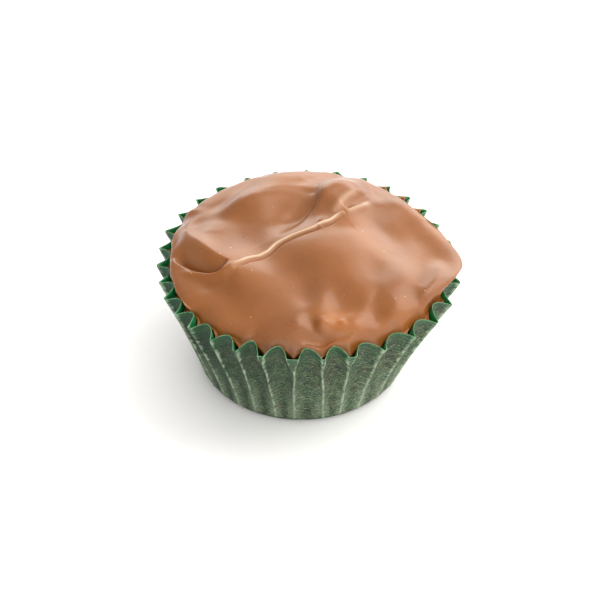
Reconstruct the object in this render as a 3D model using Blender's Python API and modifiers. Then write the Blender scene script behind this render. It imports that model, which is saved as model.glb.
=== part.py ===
"""Chocolate almond cup: a hand-dipped cup of milk chocolate, domed and lumpy over whole almonds, that
fills a fluted paper case. Metres, +Z up. The origin is the middle of the flat underside of the paper
case, +X is to the right and -Y to the front, where the two almond lumps are."""

import math

import bmesh
import bpy
import numpy as np

MM = 0.001

# Paper case
BASE_RADIUS = 15.9 * MM
RIM_RADIUS = 24.0 * MM
RIM_HEIGHT = 18.95 * MM
CORNER = 1.1 * MM
PAPER = 0.25 * MM
FLUTES = 32
FLUTE_DEPTH = 2.2 * MM
LOBE_FULLNESS = 0.7
FIRST_FOLD = math.radians(-91.1)

# How the case is pressed out of round. Each wave is (times round the rim, cosine share, sine share).
OUT_OF_ROUND = ((1, 0.008, 0.0), (2, -0.002, -0.013), (3, 0.018, -0.017), (4, -0.005, -0.012))
RIM_ROLL = ((1, 0.009, -0.002), (2, 0.002, 0.026), (3, 0.007, 0.008))
CROWDING = ((1, 0.0, 0.018), (2, 0.025, -0.019), (3, 0.007, -0.009))

# Chocolate
GAP = 0.32 * MM
SIDE_EASE = 1.1
FOOT_INSET = 0.4 * MM
FOOT_RISE = 0.9 * MM
SCALLOP = 1.2 * MM
SCALLOP_FADE = 22
CROWN = 6.7 * MM
SHOULDER = 6.0
EDGE_SWING = 0.8 * MM
EDGE_LOWEST = math.radians(-115)
OVERHANG_RING = 0.93
OVERHANG_SPREAD = (0.06, 0.05)
OVERHANG_TUCK = 0.005
RELIEF_KEPT = 0.95

# How far the chocolate ran out over the rim: direction in degrees, reach in millimetres
OVERHANG_REACH = (
    (-60, 0.0),
    (-36, 0.8),
    (-24, 1.7),
    (-12, 3.2),
    (0, 4.5),
    (12, 3.0),
    (24, 2.2),
    (36, 1.5),
    (48, 1.0),
    (62, 0.5),
    (100, 0.2),
    (130, 0.8),
    (165, 1.7),
    (200, 2.0),
    (230, 1.4),
    (262, 0.3),
)
OVERHANG_WIDTH = 8.0
OVERHANG_LEAST = 1e-6
DROOP_DIRECTION = -1.0
DROOP_WIDTH = 9.0
DROOP = 1.4 * MM
PRESSED_DIRECTION = 0.0
PRESSED_WIDTH = 11.0
PRESSED_DEPTH = 1.1 * MM
# Where it ran out over the rim, the chocolate lies on the lobes
LIES_FROM = (-0.6 * MM, 0.1 * MM)
LIES_REACH = (0.1 * MM, 0.5 * MM)
LIES_ABOVE = 0.15 * MM

# Relief of the top. Places, heights and widths are in millimetres, places to the right and to the
# back of the middle. The left-hand side of each path is its positive side.
FOLD_PATH = (
    (-18.2, -5.1),
    (-15.2, -8.8),
    (-12.6, -9.5),
    (-9.9, -7.3),
    (-6.5, -5.8),
    (-3.7, -3.2),
    (-0.6, -0.2),
    (3.4, 2.0),
    (6.4, 4.8),
)
GROOVE_PATH = ((2.1, 12.2), (1.6, 7.1), (-0.1, 3.8), (-2.9, 0.7), (-6.5, -2.4))
POCKET_PATH = ((-18.6, 4.0), (-16.5, 0.5), (-13.8, -3.9), (-11.3, -7.6))
POCKET_FOOT = ((-20.6, -3.2), (-17.3, -6.2), (-14.2, -8.7), (-11.8, -8.0))
SCOOP_RIM = ((4.4, 4.2), (6.5, 8.2), (9.2, 9.7), (11.8, 8.2))
SCOOP_CREASE = ((5.7, 4.0), (8.4, 5.7), (12.0, 7.9))
CRESCENT_LIP = ((22.4, -1.0), (22.3, -4.5), (21.2, -7.8), (19.6, -10.4), (17.2, -12.9))
NOSE_CREASE = ((1.5, -16.2), (1.6, -17.7), (2.6, -18.8), (4.2, -19.3), (6.0, -19.2), (8.2, -18.3))

# Ridges: path, height, width on the left and on the right, and the shares of the path where the ridge
# is full and where it starts to fade. A negative height is a crease.
RIDGES = (
    (FOLD_PATH, 0.3, 0.5, 0.5, 0.08, 0.93),
    (GROOVE_PATH, -0.35, 0.5, 2.8, 0.15, 0.5),
    (SCOOP_RIM, 0.22, 1.3, 0.55, 0.25, 0.6),
    (SCOOP_CREASE, -0.64, 1.5, 0.4, 0.15, 0.35),
    (CRESCENT_LIP, 0.38, 1.0, 0.6, 0.2, 0.7),
    (NOSE_CREASE, -0.39, 0.6, 0.8, 0.3, 0.7),
)
# Long lumps and dents: place across and back, half length and half width, how many degrees the long way
# is turned from straight right, height
DOME_LUMPS = (
    (-8.8, 7.7, 7.5, 15.0, 9, -2.14),
    (16.3, 4.1, 15.0, 11.2, 66, -2.32),
    (3.4, -12.3, 4.2, 14.6, 47, -1.9),
    (-4.0, -14.1, 5.5, 14.0, 93, -1.65),
    (13.4, 4.4, 4.0, 10.5, 27, -1.66),
    (-17.8, -5.0, 12.9, 4.7, 97, -1.0),
    (11.5, -6.2, 5.8, 3.3, 83, -1.18),
    (11.0, -2.2, 3.0, 3.0, 0, 0.15),
    (4.0, -6.5, 4.0, 2.4, 0, -0.23),
    (-8.5, -11.5, 4.0, 2.2, 0, -0.2),
)
BACK_LUMPS = (
    (-22.9, 9.8, 2.2, 9.8, 75, -2.1),
    (-9.4, 9.9, 9.4, 3.1, 121, 0.63),
    (-6.2, 16.3, 2.6, 5.4, 91, 0.91),
    (-3.6, 10.5, 14.6, 3.8, 0, 1.67),
    (-0.4, 9.5, 7.8, 4.5, 59, -2.19),
    (-12.5, 10.5, 4.6, 2.1, 43, -1.41),
    (5.6, 12.8, 3.2, 2.1, 33, 1.19),
    (-10.2, 16.2, 10.4, 1.1, 30, 0.33),
    (-16.7, 8.0, 4.4, 1.9, 1, 1.3),
    (9.2, 16.6, 10.3, 1.6, 81, 0.31),
    (4.1, 17.5, 6.3, 1.3, 35, -0.43),
    (10.7, 13.2, 2.2, 1.5, 140, -0.3),
    (3.4, 9.9, 2.0, 1.8, 109, 0.54),
    (14.8, 11.8, 2.7, 2.7, 0, 0.34),
)
FOLD_LUMPS = (
    (-18.1, 1.0, 8.7, 2.2, 119, 1.58),
    (-20.1, 4.4, 4.1, 1.1, 86, -1.2),
    (-20.2, 0.6, 1.1, 2.4, 0, 0.48),
    (-13.4, -9.1, 5.7, 2.0, 126, -1.18),
    (-6.9, -1.3, 9.1, 1.2, 44, -0.43),
    (-2.7, -1.7, 4.7, 1.3, 42, 1.02),
    (-4.3, 7.4, 3.8, 1.1, 45, 0.66),
    (3.2, 4.1, 6.3, 0.8, 60, 0.57),
    (6.6, 6.8, 3.0, 0.9, 32, -0.53),
    (4.0, 6.8, 1.4, 2.6, 0, -0.18),
    (2.9, 1.9, 0.5, 0.55, 0, 0.24),
    (21.4, 3.5, 6.8, 1.6, 119, 0.24),
    (20.6, -8.8, 4.2, 1.3, 62, 0.62),
)
ALMOND_LUMPS = (
    (8.8, -18.7, 7.2, 4.1, 45, 2.31),
    (2.8, -12.8, 3.6, 2.1, 90, 1.04),
    (-1.4, -19.8, 3.7, 6.2, 176, 0.72),
    (-5.9, -19.2, 2.6, 2.8, 119, 0.53),
    (2.0, -19.3, 2.5, 1.2, 5, -1.64),
    (0.9, -17.5, 1.5, 1.5, 0, -0.97),
    (2.7, -17.5, 1.0, 1.1, 0, 0.61),
    (0.1, -17.6, 1.5, 1.7, 0, 0.27),
    (11.2, -15.2, 2.1, 1.9, 101, -1.22),
    (9.2, -15.8, 1.9, 1.1, 100, -0.37),
    (10.4, -15.9, 4.0, 1.1, 77, -0.51),
    (10.3, -15.9, 1.6, 1.9, 0, 0.37),
    (6.4, -16.7, 3.3, 2.3, 0, 0.25),
    (3.9, -16.9, 1.0, 1.6, 0, 0.16),
    (7.7, -13.6, 2.2, 2.4, 0, -0.33),
    (12.3, -13.2, 1.6, 2.0, 0, -0.3),
    (14.8, -12.8, 1.6, 1.8, 0, 0.22),
)
LUMPS = DOME_LUMPS + BACK_LUMPS + FOLD_LUMPS + ALMOND_LUMPS
# The chocolate folded over on itself: it stands higher behind the fold than in front
FOLD_STEP = (-0.6, 0.4)
FOLD_ENDS = (0.3, 0.93)
FOLD_BEHIND = 0.12
FOLD_BEHIND_WIDTH = 2.4
FOLD_FRONT = -0.1
FOLD_FRONT_WIDTH = 3.4
# The pocket at the left: a curved wall from its sharp edge down to its foot beside the fold
POCKET_DEPTH = 0.92
POCKET_CURVE = 1.35
POCKET_ENDS = (0.05, 0.95)
POCKET_LIP = 0.55
POCKET_RIM = (-21.3, -18.4)
NEARLY_NOTHING = 1e-6

# Colours, as linear red, green and blue
CHOCOLATE_COLOUR = (0.45, 0.22, 0.11)
PAPER_COLOUR = (0.06, 0.14, 0.065)

# Mesh fineness
STEPS_PER_FLUTE = 6
WALL_ROWS = 4
SIDE_ROWS = 8
TOP_RINGS = 72
KEPT_FACES = 0.225

AROUND = FLUTES * STEPS_PER_FLUTE


def waves(angle, shares):
    return sum(c * np.cos(n * angle) + s * np.sin(n * angle) for n, c, s in shares)


def even_angle(turn):
    """The angle of a place round the rim, counted in flutes, before the flutes crowd together."""
    return FIRST_FOLD + 2 * math.pi * turn / FLUTES


def real_angle(turn):
    even = even_angle(turn)
    return even + waves(even, CROWDING)


def turned_from(angle, direction):
    """How many degrees an angle in radians lies from a direction in degrees, between -180 and 180."""
    return (np.degrees(angle) - direction + 180) % 360 - 180


def lobe(turn):
    """0 on a sharp outward fold and 1 in the middle of the broad lobe between two folds."""
    return np.abs(np.sin(math.pi * turn)) ** LOBE_FULLNESS


def rim_point(turn, inward):
    """Radius and height of the case's rim. A lobe stands steeper than a fold on a wall of one length,
    so it also stands higher."""
    even = even_angle(turn)
    fold_radius = RIM_RADIUS * (1 + waves(even, OUT_OF_ROUND))
    fold_height = RIM_HEIGHT + RIM_RADIUS * waves(even, RIM_ROLL)
    pressed = turned_from(even, PRESSED_DIRECTION) / PRESSED_WIDTH
    fold_height = fold_height - PRESSED_DEPTH * np.exp(-(pressed**2))
    slant = np.hypot(fold_radius - BASE_RADIUS, fold_height)
    radius = fold_radius - inward
    return radius, np.sqrt(slant**2 - (radius - BASE_RADIUS) ** 2)


def wall_point(turn, share):
    """Radius and height on the outside of the paper, at a share of the way up the wall."""
    radius, height = rim_point(turn, FLUTE_DEPTH * lobe(turn))
    return BASE_RADIUS + (radius - BASE_RADIUS) * share, height * share


def chocolate_side(turn, level, scallop):
    """Radius of the chocolate's side at a height. It goes part of the way into each fold."""
    radius, height = rim_point(turn, FLUTE_DEPTH - scallop * (1 - lobe(turn)))
    share = level / height
    lean = np.arctan2(radius - BASE_RADIUS, height)
    return BASE_RADIUS + (radius - BASE_RADIUS) * share - (PAPER + GAP) * SIDE_EASE / np.cos(lean)


def edge_level(turn):
    """Height of the line where the chocolate's top meets the paper: lowest at the front left."""
    even = even_angle(turn)
    fold_height = RIM_HEIGHT + RIM_RADIUS * waves(even, RIM_ROLL)
    return fold_height - EDGE_SWING * np.cos(even - EDGE_LOWEST)


def curve_through(points, steps=12):
    """A smooth line through points, as many short steps (Catmull-Rom)."""
    p = np.array([points[0], *points, points[-1]], float)
    p[0] = 2 * p[1] - p[2]
    p[-1] = 2 * p[-2] - p[-3]
    t = np.linspace(0, 1, steps, endpoint=False)[:, None]
    parts = []
    for a, b, c, d in zip(p, p[1:], p[2:], p[3:]):
        slope = (c - a) / 2
        bend = a - 2.5 * b + 2 * c - d / 2
        twist = 1.5 * (b - c) + (d - a) / 2
        parts.append(b + t * slope + t**2 * bend + t**3 * twist)
    return np.concatenate([*parts, p[-2:-1]])


def beside(x, y, points):
    """Distance from a path, positive on its left, and the share of the way along it."""
    line = curve_through(points)
    start = line[:-1]
    step = line[1:] - start
    best = np.full(np.shape(x), np.inf)
    left = np.zeros(np.shape(x))
    along = np.zeros(np.shape(x))
    for i, ((px, py), (sx, sy)) in enumerate(zip(start, step)):
        share = np.clip(((x - px) * sx + (y - py) * sy) / (sx * sx + sy * sy), 0, 1)
        away_x = x - px - share * sx
        away_y = y - py - share * sy
        away = np.hypot(away_x, away_y)
        nearer = away < best
        best = np.where(nearer, away, best)
        left = np.where(nearer, np.sign(sx * away_y - sy * away_x), left)
        along = np.where(nearer, (i + share) / len(step), along)
    return best * left, along


def rise(value, low, high):
    """0 below low and 1 above high, with a smooth step between."""
    share = np.clip((value - low) / (high - low), 0, 1)
    return share * share * (3 - 2 * share)


def bell(value, width):
    return np.exp(-((value / width) ** 2))


def over_length(along, full, fading):
    """1 along the middle of a path and 0 past its ends."""
    return rise(along, 0, full) * (1 - rise(along, fading, 1))


def relief(x, y):
    """Height of the top's folds, hollows and lumps over the plain dome, all in metres."""
    x = x / MM
    y = y / MM
    height = 0.0 * x
    for path, tall, left, right, full, fading in RIDGES:
        away, along = beside(x, y, path)
        height += tall * bell(away, np.where(away > 0, left, right)) * over_length(along, full, fading)
    for across, back, half_long, half_wide, turned, tall in LUMPS:
        right_way = math.cos(math.radians(turned))
        back_way = math.sin(math.radians(turned))
        long_way = (x - across) * right_way + (y - back) * back_way
        wide_way = (y - back) * right_way - (x - across) * back_way
        height += tall * bell(np.hypot(long_way / half_long, wide_way / half_wide), 1)

    fold, along = beside(x, y, FOLD_PATH)
    behind = rise(fold, *FOLD_STEP)
    step = FOLD_BEHIND * behind * bell(fold, FOLD_BEHIND_WIDTH)
    step += FOLD_FRONT * (1 - behind) * bell(fold, FOLD_FRONT_WIDTH)
    height += step * over_length(along, *FOLD_ENDS)

    edge, along = beside(x, y, POCKET_PATH)
    foot, _ = beside(x, y, POCKET_FOOT)
    below_edge = np.clip(-edge, 0, None)
    above_foot = np.clip(foot, 0, None)
    down = (below_edge / (below_edge + above_foot + NEARLY_NOTHING)) ** POCKET_CURVE
    down = down * bell(np.clip(-foot, 0, None), POCKET_LIP)
    height -= POCKET_DEPTH * down * over_length(along, *POCKET_ENDS) * rise(x, *POCKET_RIM)
    return height * MM


def overhang(angle):
    """How far the chocolate runs out over the rim, as a smooth blend of the reaches named above."""
    total = 0.0
    weight = OVERHANG_LEAST
    for direction, reach in OVERHANG_REACH:
        near = bell(turned_from(angle, direction), OVERHANG_WIDTH)
        total = total + near * reach
        weight = weight + near
    return total / weight * MM


def top_point(turn, ring):
    """A point of the chocolate's top. ring is 0 in the middle and 1 at the paper."""
    angle = real_angle(turn)
    level = edge_level(turn)
    scalloped = chocolate_side(turn, level, SCALLOP)
    smooth = chocolate_side(turn, level, 0)
    radius = ring * (smooth + (scalloped - smooth) * ring**SCALLOP_FADE)
    height = level + (RIM_HEIGHT + CROWN - level) * (1 - ring**SHOULDER)
    beyond = ring - OVERHANG_RING
    reach = overhang(angle)
    towards_middle, towards_paper = OVERHANG_SPREAD
    spread = np.where(beyond < 0, towards_middle, towards_paper - OVERHANG_TUCK * reach / MM)
    near_ring = bell(beyond, spread)
    radius = radius + reach * near_ring
    height = height - DROOP * bell(turned_from(angle, DROOP_DIRECTION), DROOP_WIDTH) * near_ring
    x = radius * np.cos(angle)
    y = radius * np.sin(angle)
    height = height + relief(x, y) * (1 - rise(ring, RELIEF_KEPT, 1))
    lobe_radius, lobe_height = rim_point(turn, FLUTE_DEPTH)
    lies = rise(radius - lobe_radius, *LIES_FROM) * rise(reach * near_ring, *LIES_REACH)
    lift = np.maximum(lobe_height + GAP + LIES_ABOVE - height, 0)
    return x, y, height + lift * lies


def ring_of(bm, turns, radius, height):
    angles = real_angle(turns)
    points = np.stack([radius * np.cos(angles), radius * np.sin(angles), height + 0 * angles], axis=1)
    return [bm.verts.new(p) for p in points]


def join_rings(bm, lower, upper):
    """A band of faces that look outwards, from one ring to the one above it."""
    for i in range(len(lower)):
        j = (i + 1) % len(lower)
        bm.faces.new((lower[i], lower[j], upper[j], upper[i]))


def make_object(bm, name, material, collection):
    mesh = bpy.data.meshes.new(name)
    bm.to_mesh(mesh)
    bm.free()
    mesh.materials.append(material)
    mesh.shade_smooth()
    made = bpy.data.objects.new(name, mesh)
    collection.objects.link(made)
    return made


def make_material(name, colour, roughness):
    material = bpy.data.materials.new(name)
    material.use_nodes = True
    shader = material.node_tree.nodes["Principled BSDF"]
    shader.inputs["Base Color"].default_value = (*colour, 1)
    shader.inputs["Roughness"].default_value = roughness
    shader.inputs["Metallic"].default_value = 0
    return material


def paper_case(material, collection):
    bm = bmesh.new()
    turns = np.arange(AROUND) / STEPS_PER_FLUTE
    middle = bm.verts.new((0, 0, 0))
    rings = [ring_of(bm, turns, BASE_RADIUS - CORNER, 0.0)]
    bend = CORNER * (1 - math.sqrt(0.5))
    rings.append(ring_of(bm, turns, BASE_RADIUS - bend, bend))
    first = CORNER / RIM_HEIGHT
    for share in np.linspace(first, 1, WALL_ROWS):
        rings.append(ring_of(bm, turns, *wall_point(turns, share)))
    for i in range(AROUND):
        bm.faces.new((middle, rings[0][(i + 1) % AROUND], rings[0][i]))
    for lower, upper in zip(rings, rings[1:]):
        join_rings(bm, lower, upper)
    made = make_object(bm, "paper_case", material, collection)
    sheet = made.modifiers.new("Paper", "SOLIDIFY")
    sheet.thickness = PAPER
    sheet.offset = -1
    sheet.use_even_offset = True
    return made


def chocolate(material, collection):
    """The chocolate is drawn with fine, even rings, and then keeps only the faces that its folds need."""
    bm = bmesh.new()
    turns = np.arange(AROUND) / STEPS_PER_FLUTE
    bottom = PAPER + GAP
    first = bottom + FOOT_RISE
    rings = [ring_of(bm, turns, BASE_RADIUS - CORNER - FOOT_INSET, bottom)]
    for share in np.linspace(0, 1, SIDE_ROWS)[:-1]:
        level = first + (edge_level(turns) - first) * share
        rings.append(ring_of(bm, turns, chocolate_side(turns, level, SCALLOP), level))
    for ring in np.linspace(1, 0, TOP_RINGS + 1)[:-1]:
        points = np.stack(top_point(turns, ring), axis=1)
        rings.append([bm.verts.new(p) for p in points])
    for lower, upper in zip(rings, rings[1:]):
        join_rings(bm, lower, upper)
    underside = bm.verts.new((0, 0, bottom))
    top = bm.verts.new([float(c) for c in top_point(0.0, 0.0)])
    for i in range(AROUND):
        j = (i + 1) % AROUND
        bm.faces.new((underside, rings[0][j], rings[0][i]))
        bm.faces.new((top, rings[-1][i], rings[-1][j]))
    made = make_object(bm, "chocolate", material, collection)
    fewer = made.modifiers.new("Fewer faces", "DECIMATE")
    fewer.ratio = KEPT_FACES
    return made


def main():
    for old in list(bpy.data.objects):
        bpy.data.objects.remove(old)
    collection = bpy.data.collections.new("Chocolate almond cup")
    bpy.context.scene.collection.children.link(collection)
    paper_case(make_material("Green glassine paper", PAPER_COLOUR, 0.6), collection)
    chocolate(make_material("Milk chocolate", CHOCOLATE_COLOUR, 0.35), collection)


main()
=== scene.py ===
"""The looks of the chocolate almond cup: a hand-dipped candy of milk chocolate, domed and lumpy over whole
almonds, in a fluted case of green glassine paper. Metres, +Z up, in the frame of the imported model: the
origin is the middle of the case's flat underside, +X is to the right and -Y to the front."""

import math

import bpy
import numpy as np
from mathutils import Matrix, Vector


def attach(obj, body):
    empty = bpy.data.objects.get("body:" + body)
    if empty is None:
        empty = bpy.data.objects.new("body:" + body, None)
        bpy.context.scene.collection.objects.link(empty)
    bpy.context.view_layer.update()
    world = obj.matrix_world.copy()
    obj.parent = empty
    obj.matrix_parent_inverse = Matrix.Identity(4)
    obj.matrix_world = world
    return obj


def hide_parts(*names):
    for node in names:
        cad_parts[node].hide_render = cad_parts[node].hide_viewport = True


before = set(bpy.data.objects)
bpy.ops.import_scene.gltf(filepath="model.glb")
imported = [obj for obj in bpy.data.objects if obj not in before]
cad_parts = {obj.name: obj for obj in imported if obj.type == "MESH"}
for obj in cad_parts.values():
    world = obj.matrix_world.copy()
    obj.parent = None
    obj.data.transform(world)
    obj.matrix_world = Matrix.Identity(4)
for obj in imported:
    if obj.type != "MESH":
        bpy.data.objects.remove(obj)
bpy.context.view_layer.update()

MM = 0.001

# Paper case
BASE_RADIUS = 15.9 * MM
RIM_RADIUS = 24.0 * MM
RIM_HEIGHT = 18.95 * MM
CORNER = 1.1 * MM
PAPER = 0.1 * MM
FLUTES = 32
FLUTE_DEPTH = 2.2 * MM
LOBE_FULLNESS = 0.68
CREASE_ROUNDNESS = 0.06
FIRST_FOLD = math.radians(-91.1)

# How the case is pressed out of round. Each wave is (times round the rim, cosine share, sine share).
# A least-squares fit to the fold tips and the base edge in the photograph gave the shares.
OUT_OF_ROUND = ((1, 0.008, 0.0), (2, -0.002, -0.013), (3, 0.018, -0.017), (4, -0.005, -0.012))
RIM_ROLL = ((1, 0.009, -0.002), (2, 0.002, 0.026), (3, 0.007, 0.008))
CROWDING = ((1, 0.0, 0.018), (2, 0.025, -0.019), (3, 0.007, -0.009))

# Folds that the presser left uneven, as fold number: shift in flutes
RIM_SHIFT = {2: -0.04, 4: 0.06, 5: 0.04, 6: -0.06, 9: 0.06, 14: -0.06, 19: 0.04, 28: -0.06, 31: -0.1}
BASE_SHIFT = {1: 0.25, 2: 0.1}
FLAT_FOLDS = {0: 0.3, 2: 0.24, 31: 0.2}
FLAT_FOLD = 0.12
FLAT_FOLD_HEIGHT = (0.72, 1.0)

# The case was pressed by hand: its base bulges to the front left, and its wall flares towards the rim
BASE_BULGE = ((1, -0.022, -0.028),)
FLARE = 0.35 * MM
# How far folds wander and lean from the even spacing, in flutes, and how unlike the lobes are
FOLD_WANDER = 0.035
FOLD_LEAN = 0.12
LOBE_SPREAD = 0.08
RIM_UNEVEN = 0.15 * MM
# A distance in millimetres that counts as away from every fold
FAR = 9.0
NEARLY_NOTHING = 1e-6

# Chocolate
GAP = 0.06 * MM
# The chocolate keeps clear of the paper as far as this to either side
ROOM_ASIDE = math.radians(1.0)
SIDE_EASE = 1.1
FOOT_INSET = 0.4 * MM
FOOT_RISE = 0.9 * MM
SCALLOP = 1.1 * MM
SCALLOP_FADE = 12
SCALLOP_FADE_OVERHANG = 10
EDGE_DIP = 0.03
EDGE_DIP_OVERHANG = 1.0 * MM
CROWN = 6.7 * MM
SHOULDER = 6.0
EDGE_SWING = 0.8 * MM
EDGE_LOWEST = math.radians(-115)
# At the front, where it stops inside the paper, the dome falls more gently and its edge stands higher
OPEN_DIRECTION = -95.0
OPEN_WIDTH = 45.0
EASED_SHOULDER = 4.6
EDGE_RAISED = 0.45 * MM
OVERHANG_RING = 0.93
OVERHANG_SPREAD = (0.06, 0.05)
OVERHANG_TUCK = 0.005
RELIEF_KEPT = 0.95

# How far the chocolate ran out over the rim: direction in degrees, reach in millimetres
OVERHANG_REACH = (
    (-60, 0.0),
    (-36, 0.8),
    (-24, 1.7),
    (-12, 3.2),
    (0, 4.5),
    (12, 3.0),
    (24, 2.2),
    (36, 1.5),
    (48, 1.0),
    (62, 0.5),
    (100, 0.2),
    (130, 0.8),
    (165, 1.7),
    (200, 2.0),
    (230, 0.9),
    (262, 0.0),
)
OVERHANG_WIDTH = 8.0
DROOP_DIRECTION = -1.0
DROOP_WIDTH = 9.0
DROOP = 1.4 * MM
PRESSED_DIRECTION = 0.0
PRESSED_WIDTH = 11.0
PRESSED_DEPTH = 1.1 * MM
# Where it ran out over the rim, the chocolate lies on the lobes
LIES_FROM = (-0.6 * MM, 0.1 * MM)
LIES_REACH = (0.5 * MM, 1.0 * MM)
LIES_ABOVE = 0.05 * MM

# Relief of the top. Places, heights and widths are in millimetres, places to the right and to the
# back of the middle. The left-hand side of each path is its positive side.
FOLD_PATH = (
    (-19.7, -3.5),
    (-18.7, -4.6),
    (-17.4, -5.5),
    (-16.1, -6.3),
    (-15.0, -7.0),
    (-13.9, -7.4),
    (-12.9, -7.5),
    (-12.2, -7.3),
    (-11.6, -7.0),
    (-10.8, -6.3),
    (-9.8, -5.5),
    (-8.9, -4.7),
    (-8.0, -4.1),
    (-7.0, -3.6),
    (-6.3, -3.0),
    (-5.6, -2.4),
    (-5.0, -1.6),
    (-4.4, -0.9),
    (-3.5, -0.2),
    (-2.7, 0.3),
    (-1.9, 0.8),
    (-1.1, 1.2),
    (0.0, 1.7),
    (0.9, 2.1),
    (1.8, 2.6),
    (2.6, 3.2),
    (3.4, 3.6),
    (4.1, 4.1),
    (4.8, 4.8),
    (5.4, 5.4),
    (6.0, 5.9),
    (6.6, 6.3),
)
GROOVE_PATH = (
    (2.3, 13.0),
    (2.0, 10.9),
    (1.9, 9.5),
    (1.5, 8.5),
    (1.1, 7.6),
    (0.4, 6.7),
    (-0.2, 5.9),
    (-0.8, 5.1),
    (-1.7, 4.2),
    (-2.6, 3.2),
    (-3.9, 1.9),
    (-5.1, 0.9),
)
BROW_PATH = (
    (-15.0, 6.0),
    (-13.6, 7.3),
    (-12.4, 8.6),
    (-10.6, 10.2),
    (-8.9, 11.6),
    (-7.2, 12.1),
    (-5.6, 12.5),
    (-2.5, 13.2),
    (0.3, 13.8),
    (2.5, 14.3),
    (4.3, 15.0),
    (6.6, 15.6),
    (9.6, 15.0),
)
POCKET_PATH = (
    (-19.4, 5.0),
    (-18.5, 4.3),
    (-17.9, 3.3),
    (-17.1, 1.6),
    (-16.2, 0.0),
    (-15.4, -1.3),
    (-14.7, -2.3),
    (-13.9, -3.2),
    (-13.1, -4.0),
    (-12.3, -4.8),
    (-11.6, -5.3),
)
POCKET_FOOT = (
    (-20.4, -0.2),
    (-19.7, -1.2),
    (-18.7, -2.2),
    (-17.6, -3.3),
    (-16.5, -4.4),
    (-15.3, -5.4),
    (-14.4, -5.9),
    (-13.4, -6.2),
    (-12.7, -6.1),
    (-12.2, -5.8),
    (-11.7, -5.4),
)

BEAD_PATH = FOLD_PATH[8:]
THICK_END_PATH = FOLD_PATH[:11]
UNDER_THICK_END = (
    (-16.8, -7.6),
    (-15.6, -8.0),
    (-14.4, -8.4),
    (-13.3, -8.6),
    (-12.2, -8.7),
    (-11.2, -8.4),
    (-10.4, -7.6),
)
SPOON_MARK = ((-4.5, 3.8), (-3.8, 5.8), (-2.7, 7.5), (-1.5, 9.1), (-0.1, 10.4))
LEFT_SHELF = ((-19.2, 4.0), (-17.6, 3.9), (-15.8, 3.3), (-14.0, 2.9), (-12.4, 2.2))
BACK_RIDGE = ((-1.6, 16.4), (0.4, 15.2), (2.6, 13.6))
SCOOP_RIM = (
    (4.8, 5.6),
    (5.2, 7.0),
    (6.0, 8.3),
    (6.7, 9.4),
    (7.6, 10.5),
    (8.9, 11.8),
    (10.2, 13.0),
    (11.4, 13.6),
)
SCOOP_CREASE = ((6.2, 7.2), (7.2, 8.4), (8.5, 9.6), (9.9, 10.9), (11.0, 12.0))
SCOOP_LOWER_RIM = ((6.4, 6.4), (7.4, 7.0), (8.4, 8.0), (9.5, 9.2), (10.7, 10.6))
PALE_LOWER_RIM = ((6.6, 6.5), *SCOOP_LOWER_RIM[1:])
CRESCENT = (
    (21.6, -0.5),
    (21.5, -2.6),
    (21.0, -4.6),
    (20.3, -6.9),
    (19.5, -8.8),
    (18.5, -10.5),
    (17.3, -11.7),
)
NOSE_CREASE = (
    (1.3, -15.6),
    (1.4, -16.9),
    (1.9, -17.9),
    (2.8, -18.6),
    (4.0, -18.9),
    (5.6, -18.9),
    (7.0, -18.6),
    (8.3, -17.8),
)


def moved(path, across, back):
    return tuple((x + across, y + back) for x, y in path)


# Ridges: path, height, width on the left and on the right, and the shares of the path where the ridge
# is full and where it starts to fade. A negative height is a crease.
RIDGES = (
    # the thin bead along the fold, where the last of the chocolate ran off the spoon
    (BEAD_PATH, 0.26, 0.26, 0.22, 0.1, 0.96),
    # the thick end of that bead, round the front of the pocket
    (THICK_END_PATH, 0.45, 0.5, 0.6, 0.25, 0.8),
    # the crease right in front of the bead
    (moved(BEAD_PATH[:-2], 0.3, -0.4), -0.12, 0.15, 0.35, 0.1, 0.9),
    # the shade under the thick end
    (UNDER_THICK_END, -0.3, 0.6, 1.2, 0.25, 0.7),
    # the groove and the lip beside it
    (GROOVE_PATH, -0.45, 0.5, 2.2, 0.08, 0.55),
    (moved(GROOVE_PATH[:8], 0.9, -0.2), 0.18, 0.9, 0.45, 0.05, 0.5),
    # the brow over the hollow
    (BROW_PATH, 0.07, 1.6, 0.75, 0.2, 0.75),
    # the edge of the spoon mark on the floor of the hollow
    (SPOON_MARK, 0.12, 1.1, 1.0, 0.4, 0.6),
    # the shelf at the left, behind the pocket
    (LEFT_SHELF, 0.05, 0.8, 0.6, 0.05, 0.5),
    # small ridge at the back that joins the brow
    (BACK_RIDGE, 0.04, 0.7, 0.7, 0.3, 0.7),
    # scoop: its high back rim and the crease along its front
    (SCOOP_RIM, 0.3, 1.2, 0.6, 0.25, 0.6),
    (SCOOP_CREASE, -0.55, 1.1, 0.7, 0.2, 0.45),
    (SCOOP_LOWER_RIM, 0.15, 0.35, 0.8, 0.2, 0.7),
    # crescent at the right: the lip of the overhang, raised over the dip beside it
    (CRESCENT, 0.5, 0.8, 1.6, 0.3, 0.7),
    # crease under the nose of the front almond
    (NOSE_CREASE, -0.45, 0.5, 0.6, 0.3, 0.7),
)
# Painted highlights: pale lines painted along the thin bead and the scoop's rims, where they catch the light:
# path, width and how much paler
PAINTED_HIGHLIGHT_LINES = (
    (BEAD_PATH, 0.2, 0.7),
    (SCOOP_RIM[:6], 0.5, 0.2),
    (PALE_LOWER_RIM, 0.4, 0.25),
)
# Where the painted highlight lines grow full and start to fade, as shares of their paths
PAINTED_HIGHLIGHT_ENDS = (0.12, 0.85)
# A warm glow painted over the front almond, painted light: place, radius across and back
ALMOND_PAINTED_GLOW = (5.6, -16.4, 3.2, 2.3)
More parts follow.
